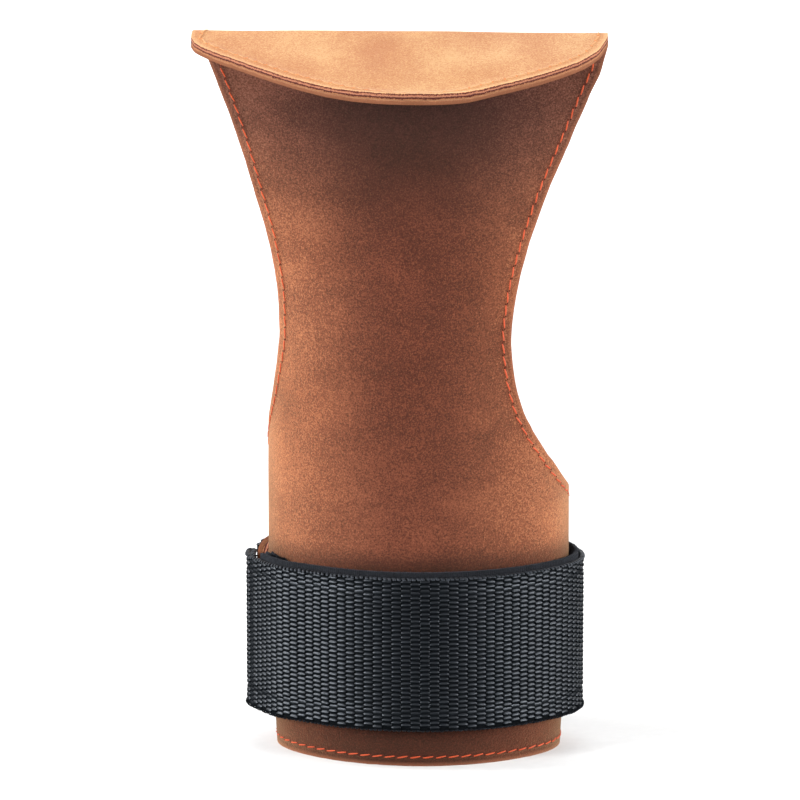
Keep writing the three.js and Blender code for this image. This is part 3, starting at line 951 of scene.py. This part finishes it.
def makeSelvage(material):
    bm = bmesh.new()
    section = bmesh.ops.create_circle(bm, segments=7, radius=selvage["threadRadius"])["verts"]
    half = strap["webbingThickness"] / 2 - 0.1
    for vert in section:
        vert.co = (vert.co.x * selvage["threadWidth"], -half + selvage["threadDepth"] * vert.co.y, 0)
    bmesh.ops.spin(bm, geom=section + list(bm.edges), cent=(0, 0, 0), axis=(1, 0, 0), angle=-math.pi,
                   steps=6)
    for vert in bm.verts:
        vert.co.x += selvage["lean"] * vert.co.y
    columns = int((webbingPath.length - 1.0) / weave["columnPitch"]) * 2
    pitch = weave["columnPitch"] / 2
    perLoop = len(bm.verts)
    bm = arrayCopies(bm, [(columns, (pitch, 0, 0)), (2, (0, 0, 1))])
    spareX = (webbingPath.length - (columns - 1) * pitch) / 2
    sideways = selvage["sideways"]
    shifts = [(random.uniform(-sideways, sideways), random.uniform(*selvage["outward"]))
              for _ in range(2 * columns)]
    for index, vert in enumerate(bm.verts):
        upper = index // perLoop >= columns
        sideShift, outShift = shifts[index // perLoop]
        vert.co.x = insideEnds(vert.co.x + sideShift + spareX)
        outward = selvage["height"] * (vert.co.z + outShift - (1 if upper else 0)) - selvage["inset"]
        vert.co.z = strap["webbingWidth"] + outward if upper else -outward
    layAlong(bm, webbingPath, strap["height"])
    finishPiece(bm, "webbing_selvage", [material])


def makeWebbingGround(material):
    depth = strap["webbingThickness"] * weave["groundShare"]
    height = strap["webbingWidth"] - 2 * weave["groundInset"]
    bm = makeSlab(webbingPath.length, height, depth, 1.2, 12, 0.12)
    for vert in bm.verts:
        vert.co.y -= (strap["webbingThickness"] - depth) / 2
        vert.co.z += weave["groundInset"]
    layAlong(bm, webbingPath, strap["height"])
    finishPiece(bm, "webbing_ground", [material], ["strap_webbing"])


def makeBand(material):
    height = strap["webbingWidth"] + strap["showAbove"] + strap["showBelow"]
    bm = makeSlab(bandPath.length, height, strap["bandThickness"], 1.5, 16, 0.3, 3)
    layAlong(bm, bandPath, bandBottom)
    finishPiece(bm, "pile_band", [material], ["strap_band"])


def makeHookTab(material):
    height, tear = strap["hookTabHeight"], strap["hookTabTear"]
    sheet = strap["hookTabThickness"] * strap["hookTabSheet"]
    bm = makeSlab(tabPath.length, height, sheet, 0.5, 24, 0.15)
    for vert in bm.verts:
        # A ragged upper edge
        torn = (vert.co.z / height - 1 + tear) / tear
        if torn > 0:
            ragged = noise.noise(Vector((vert.co.x * 0.9, 3.0, 0)))
            fall = strap["hookTabFall"] * abs(1.6 * vert.co.x / tabPath.length - 0.9)
            vert.co.z -= torn * (0.4 + ragged + fall)
    layAlong(bm, tabPath, tabTop - height)
    finishPiece(bm, "hook_tape", [material], ["strap_hook_tab"])


# Fuzz: short bent hairs, each a thin three-sided cone, that stand out of the pile
fuzz = {
    "bandTopHairs": 2600,
    "bandBottomHairs": 900,
    "bandLength": 0.5,
    "bandRadius": 0.028,
    "hookHairs": 900,
    "hookLength": 0.7,
    "hookRadius": 0.035,
    "hookFrom": 0.45,        # the share of the tape that is hidden and has no hairs
    "sizes": (0.5, 1.25),    # shortest and longest, as shares of the length
    "lean": 0.45,
    "bend": 0.4,
}


def anyWay():
    return Vector((random.gauss(0, 1), random.gauss(0, 1), random.gauss(0, 1)))


def makeHairs(name, material, roots, length, radius):
    bm = bmesh.new()
    bmesh.ops.create_cone(bm, segments=3, radius1=radius, radius2=radius * 0.3, depth=1, cap_ends=False)
    upright = [edge for edge in bm.edges if abs(edge.verts[0].co.z - edge.verts[1].co.z) > 0.5]
    bmesh.ops.subdivide_edges(bm, edges=upright, cuts=2)
    perHair = len(bm.verts)
    bm = arrayCopies(bm, [(len(roots), (0, 0, 0))])
    shapes = []
    for point, way in roots:
        size = length * random.uniform(*fuzz["sizes"])
        axis = (way + anyWay() * fuzz["lean"]).normalized()
        bend = anyWay() * fuzz["bend"] * size
        side = axis.orthogonal().normalized()
        shapes.append((point, axis, side, axis.cross(side), size, bend))
    for index, vert in enumerate(bm.verts):
        point, axis, side, across, size, bend = shapes[index // perHair]
        up = vert.co.z + 0.5
        vert.co = point + axis * (up * size) + side * vert.co.x + across * vert.co.y + bend * up * up
    finishPiece(bm, name, [material])


def pathRoots(path, count, zLow, zHigh, outward, way, begin=0.3):
    # Places along a path where hairs grow, each with the way that its hair points
    roots = []
    for _ in range(count):
        along = random.uniform(begin, path.length - 0.3)
        z = random.uniform(zLow, zHigh)
        depth = random.uniform(*outward)
        point = path.at(along, depth, z)
        normal = path.at(along, depth + 1, z) - point
        roots.append((point, (normal * way[0] + Vector((0, 0, way[1]))).normalized()))
    return roots


# Stitching: one thread stitch with its two needle holes, laid along the seam and formed
seam = {
    "inset": 2.25,
    "pitch": 3.15,
    "stitchLength": 2.95,
    "threadRadius": 0.175,
    "rise": 0.10,
    "sunkRise": -0.30,       # on the flap the thread is drawn into the nap
    "sink": 0.38,
    "slant": math.radians(9),
    "holeLength": 0.30,
    "holeWidth": 0.19,
    "holeHeight": 0.012,
    "topHeight": 0.02,       # what stands higher than this is drawn in with the thread
    "backDrawn": 0.45,       # how much less the back's thread is drawn in
}


def makeStitch():
    # Along x, standing up along z: a twisted thread that dives into its holes at both ends
    bm = bmesh.new()
    stations = 8
    section = bmesh.ops.create_circle(bm, segments=6, radius=1)["verts"]
    edges = list(bm.edges)
    rings = [section]
    for _ in range(stations):
        grown = set(bmesh.ops.extrude_edge_only(bm, edges=edges)["geom"])
        rings.append([freshNeighbour(vert, grown) for vert in rings[-1]])
        edges = [bm.edges.get(pair) for pair in zip(rings[-1], rings[-1][1:] + rings[-1][:1])]
    for station, ring in enumerate(rings):
        share = 2 * station / stations - 1
        reach = math.sin(share * math.pi / 2)
        height = seam["rise"] - seam["sink"] * abs(reach) ** 5
        for index, vert in enumerate(ring):
            angle = 2 * math.pi * index / 6
            radius = seam["threadRadius"] * (1 + 0.16 * math.cos(2 * (angle - 2.4 * share)))
            radius *= 1 - 0.35 * abs(reach) ** 4
            vert.co = (reach * seam["stitchLength"] / 2, radius * math.cos(angle),
                       height + 0.8 * radius * math.sin(angle))
    # The needle holes: flat discs painted dark, painted shade where the thread goes into the leather
    for side in (-1, 1):
        hole = bmesh.ops.create_circle(bm, cap_ends=True, segments=8, radius=1)["verts"]
        for vert in hole:
            vert.co = (vert.co.x * seam["holeLength"] + side * seam["stitchLength"] / 2,
                       vert.co.y * seam["holeWidth"], seam["holeHeight"])
        for face in hole[0].link_faces:
            face.material_index = 1
    return bm


def seamPlaces(points):
    # Evenly spaced places on the line that runs inside the outline, with their directions
    inside = []
    for point, way in resample(points, 0.5):
        shifted = point + Vector((way.y, -way.x, 0)) * seam["inset"]    # the leather is at the right
        if edgeDistance(shifted.x, shifted.y) > seam["inset"] - 0.06:
            inside.append(shifted)
    return resample(inside, seam["pitch"])


def makeSeam(name, places, depthAt, materials):
    single = makeStitch()
    perStitch = len(single.verts)
    bm = arrayCopies(single, [(len(places), (0, 0, 0))])
    turns = [seam["slant"] + random.uniform(-0.04, 0.04) for _ in places]
    for index, vert in enumerate(bm.verts):
        point, way = places[index // perStitch]
        turn = turns[index // perStitch]
        x = vert.co.x * math.cos(turn) - vert.co.y * math.sin(turn)
        y = vert.co.x * math.sin(turn) + vert.co.y * math.cos(turn)
        across = point.x + way.x * x - way.y * y
        run = point.y + way.y * x + way.x * y
        vert.co = onLeather(across, run, depthAt(vert.co.z, run))
    finishPiece(bm, name, materials)


# Colours and finish of the threads, the needle holes, the nylon and the pile
nylonLooks = {
    "webbing floats": {"dark": linear(1, 3, 5), "light": linear(6, 10, 15), "roughness": 0.42,
                       "filament": 0.16, "specular": 0.5},
    "webbing edge": {"dark": linear(12, 14, 17), "light": linear(32, 36, 42), "roughness": 0.55,
                     "filament": 0.3, "specular": 0.35},
    "webbing ground": {"dark": linear(3, 5, 6), "light": linear(9, 11, 14), "roughness": 0.8,
                       "filament": 0.3, "specular": 0.08},
}
nylonTint = (0.82, 0.89, 1.0, 1.0)     # black nylon shines a little blue
pileLook = {
    "dark": linear(12, 13, 16), "light": linear(28, 30, 35), "sheenTint": linear(120, 126, 138),
    "ribScale": 0.56364,               # ribs along the band, for each millimetre of it
}
threadLooks = {
    "orange thread": {"base": linear(160, 54, 27), "light": linear(200, 88, 46)},
    "pale thread": {"base": linear(186, 128, 82), "light": linear(208, 156, 108)},
}
# The needle holes are flat discs in these colours: painted shade of the holes
holeColours = {
    "needle hole": linear(60, 28, 22),
    "needle hole in the suede": linear(166, 102, 62),
}


def threadMaterial(name):
    look = threadLooks[name]
    material, tree, shader = newMaterial(name)
    point = objectPoint(tree)
    strands = noiseOf(tree, point, 0.22, 3, 0.6)
    worn = rangeOf(tree, noiseOf(tree, point, 6, 2, 0.5), 0.35, 0.7, 0, 0.35)
    colour = rampOf(tree, strands, [(0.34, look["base"]), (0.68, look["light"])])
    setInputs(tree, shader, {"Base Color": mixOf(tree, worn, colour, look["base"]), "Roughness": 0.5,
                             "Specular IOR Level": 0.25, "Normal": bumpOf(tree, strands, 0.08, 0.7)})
    return material


def holeMaterial(name):
    material, tree, shader = newMaterial(name)
    colour = holeColours[name]
    lighter = [min(1, channel * 2.2) for channel in colour]
    specks = noiseOf(tree, objectPoint(tree), 0.4, 2, 0.5)
    setInputs(tree, shader, {"Base Color": rampOf(tree, specks, [(0.3, colour), (0.8, lighter)]),
                             "Roughness": 1.0, "Specular IOR Level": 0.0})
    return material


def nylonMaterial(name):
    # Bundled filaments along the webbing, with slight changes of tone from float to float
    look = nylonLooks[name]
    material, tree, shader = newMaterial(name)
    uv = addNode(tree, "ShaderNodeUVMap", uv_map="weave").outputs["UV"]
    stretched = addNode(tree, "ShaderNodeMapping", {"Vector": uv, "Scale": (0.06, 1, 1)}).outputs["Vector"]
    filaments = noiseOf(tree, stretched, look["filament"], 3, 0.6)
    floatTone = noiseOf(tree, uv, 2.2, 2, 0.6)
    tone = sumOf(tree, rangeOf(tree, filaments, 0, 1, 0, 0.6), rangeOf(tree, floatTone, 0, 1, 0, 0.4))
    setInputs(tree, shader, {
        "Base Color": rampOf(tree, tone, [(0.35, look["dark"]), (0.68, look["light"])]),
        "Roughness": look["roughness"], "Specular IOR Level": look["specular"],
        "Specular Tint": nylonTint, "Normal": bumpOf(tree, filaments, 0.06, 0.7)})
    return material


def pileMaterial():
    material, tree, shader = newMaterial("pile")
    point = objectPoint(tree)
    fluff = noiseOf(tree, point, 0.35, 4, 0.7, 0.6)
    clumps = noiseOf(tree, point, 2.0, 4, 0.6)
    tone = sumOf(tree, rangeOf(tree, fluff, 0, 1, 0, 0.55), rangeOf(tree, clumps, 0, 1, 0, 0.45))
    uv = addNode(tree, "ShaderNodeUVMap", uv_map="weave").outputs["UV"]
    ribs = addNode(tree, "ShaderNodeTexWave", {"Vector": uv, "Scale": pileLook["ribScale"] / mm,
                                               "Distortion": 0.6}, bands_direction="X").outputs["Fac"]
    normal = bumpOf(tree, fluff, 0.30, 0.8, bumpOf(tree, ribs, 0.10, 0.7))
    setInputs(tree, shader, {
        "Base Color": rampOf(tree, tone, [(0.35, pileLook["dark"]), (0.7, pileLook["light"])]),
        "Roughness": 0.95, "Specular IOR Level": 0.15, "Sheen Weight": 0.2,
        "Sheen Tint": pileLook["sheenTint"], "Normal": normal})
    return material


pile = pileMaterial()
makeBand(pile)
makeWebbingGround(nylonMaterial("webbing ground"))
makeWeave(nylonMaterial("webbing floats"))
makeSelvage(nylonMaterial("webbing edge"))
makeHookTab(pile)

seamRow = seamPlaces(outline)
print("seam:", len(seamRow), "stitches a side")


def drawnIn(height, run):
    # How far the top of a stitch is drawn into the leather: only on the flap
    deep = (seam["rise"] - seam["sunkRise"]) * smoothStep(run, flapStart + 3, flapStart + 9)
    return deep if height > seam["topHeight"] else 0


def frontDepth(height, run):
    return drawnIn(height, run) - height


def backDepth(height, run):
    return thickness + height - seam["backDrawn"] * drawnIn(height, run)


makeSeam("front_stitching", seamRow, frontDepth,
         [threadMaterial("orange thread"), holeMaterial("needle hole")])
makeSeam("back_stitching", seamRow, backDepth,
         [threadMaterial("pale thread"), holeMaterial("needle hole in the suede")])

# Hairs on the band's rims and on the hook tape
rimDepth = (-strap["bandThickness"] / 2, strap["bandThickness"] / 2)
bandRoots = pathRoots(bandPath, fuzz["bandTopHairs"], bandTop - 0.5, bandTop - 0.02, rimDepth,
                      (0.25, 1))
bandRoots += pathRoots(bandPath, fuzz["bandBottomHairs"], bandBottom, bandBottom + 0.3, rimDepth,
                       (0.25, -1))
makeHairs("band_fuzz", pile, bandRoots, fuzz["bandLength"], fuzz["bandRadius"])
hookRoots = pathRoots(tabPath, fuzz["hookHairs"], bandTop - 1.0, tabTop - 0.8, (-0.1, 0.3), (0.9, 0.5),
                      tabPath.length * fuzz["hookFrom"])
makeHairs("hook_fuzz", pile, hookRoots, fuzz["hookLength"], fuzz["hookRadius"])

# Floor, backdrop, lights and camera
studio = {
    "floorSize": 6.0,
    "backdropBehind": 1.6,
    "backdropRadius": 0.7,
    "backdropHeight": 2.6,
    "distance": 1300.0,
    "elevation": math.radians(10),
    "yaw": math.radians(3),
    "target": (-4.6, 0, 85.8),     # millimetres from the cuff's middle
    "widthAtTarget": 196.8,        # millimetres across the picture
    "sensor": 36.0,
    "worldStrength": 0.03,
    "floorBoxHeight": 0.6,
}

# Soft boxes: degrees round from the camera's side, degrees up, metres away, width, height, watts
softBoxes = {
    "leftHigh": (-94, 36, 1.1, 0.5, 0.4, 11.4),
    "rightHigh": (94, 37, 1.1, 0.5, 0.4, 6.6),
    "leftKey": (-68, 33, 1.1, 0.5, 0.4, 0.1),
    "leftLow": (-90, 12, 0.9, 0.26, 0.26, 3.4),
    "rightLow": (89, 11, 0.9, 0.26, 0.26, 4.6),
    "leftStrip": (-52, 14, 0.9, 0.14, 0.34, 9.4),
    "rightStrip": (56, 14, 0.9, 0.14, 0.34, 6.9),
    "front": (0, 48, 1.3, 1.0, 0.6, 2.1),
    "overBack": (180, 50, 2.2, 2.0, 1.6, 22.0),
}
# Boxes that hang low over the far floor: place, width, depth, watts
floorBoxes = {
    "floorBack": (0, 1.7, 2.8, 1.6, 34),
    "floorFront": (0, -2.4, 2.8, 1.8, 30),
    "floorLeft": (-2.3, 0, 1.8, 2.8, 26),
    "floorRight": (2.3, 0, 1.8, 2.8, 26),
}


def makeStudio():
    # A sheet of paper: a floor that turns up into a backdrop
    bm = bmesh.new()
    half, behind, radius = studio["floorSize"] / 2, studio["backdropBehind"], studio["backdropRadius"]
    edge = bm.edges.new([bm.verts.new((x, -half, 0)) for x in (-half, half)])
    edge = pullEdge(bm, edge, (0, half + behind, 0))
    turned = bmesh.ops.spin(bm, geom=list(edge.verts) + [edge], cent=(0, behind, radius), axis=(1, 0, 0),
                            angle=math.pi / 2, steps=16)["geom_last"]
    edge = next(item for item in turned if isinstance(item, bmesh.types.BMEdge))
    pullEdge(bm, edge, (0, 0, studio["backdropHeight"]))
    bmesh.ops.recalc_face_normals(bm, faces=bm.faces)
    for face in bm.faces:
        face.smooth = True
    material, tree, shader = newMaterial("studio paper")
    paper = rampOf(tree, noiseOf(tree, objectPoint(tree), 3, 3, 0.5),
                   [(0.2, linear(208, 208, 208)), (0.8, linear(213, 213, 213))])
    setInputs(tree, shader, {"Base Color": paper, "Roughness": 0.9})
    floor = addObject("studio_floor", bm, [material])
    floor.visible_glossy = False       # black nylon would mirror the white paper


def pullEdge(bm, edge, way):
    fresh = vertsIn(bmesh.ops.extrude_edge_only(bm, edges=[edge])["geom"])
    bmesh.ops.translate(bm, verts=fresh, vec=way)
    return bm.edges.get(fresh)


def addLight(name, place, size, power, target):
    light = bpy.data.lights.new(name, "AREA")
    light.shape = "RECTANGLE"
    light.size, light.size_y = size
    light.energy = power
    lamp = bpy.data.objects.new(name, light)
    bpy.context.scene.collection.objects.link(lamp)
    lamp.location = place
    lamp.rotation_euler = (Vector(target) - Vector(place)).to_track_quat("-Z", "Y").to_euler()
    lamp.visible_camera = False


def wayTo(around, up):
    # The way from the middle to a place round it: 0 is in front, and up is above the level
    return Vector((math.sin(around) * math.cos(up), -math.cos(around) * math.cos(up), math.sin(up)))


def makeLights():
    middle = Vector((0, 0, 0.09))
    for name, (azimuth, rise, away, width, height, power) in softBoxes.items():
        place = middle + wayTo(math.radians(azimuth), math.radians(rise)) * away
        addLight(name, place, (width, height), power, middle)
    for name, (x, y, width, depth, power) in floorBoxes.items():
        addLight(name, (x, y, studio["floorBoxHeight"]), (width, depth), power, (x, y, 0))
    world = bpy.data.worlds.new("studio")
    world.use_nodes = True
    background = world.node_tree.nodes["Background"]
    setInputs(world.node_tree, background, {"Color": (1, 1, 1, 1), "Strength": studio["worldStrength"]})
    bpy.context.scene.world = world
    bpy.context.scene.view_settings.view_transform = "Standard"


def makeCamera():
    back = wayTo(studio["yaw"], studio["elevation"])
    target = toFrame(Vector(studio["target"]))
    data = bpy.data.cameras.new("camera")
    data.sensor_width = studio["sensor"]
    data.lens = studio["sensor"] * studio["distance"] / studio["widthAtTarget"]
    camera = bpy.data.objects.new("camera", data)
    bpy.context.scene.collection.objects.link(camera)
    camera.location = target + back * studio["distance"] * mm
    camera.rotation_euler = (-back).to_track_quat("-Z", "Y").to_euler()
    data.clip_end = 20
    bpy.context.scene.camera = camera


makeStudio()
makeLights()
makeCamera()
print("studio set")
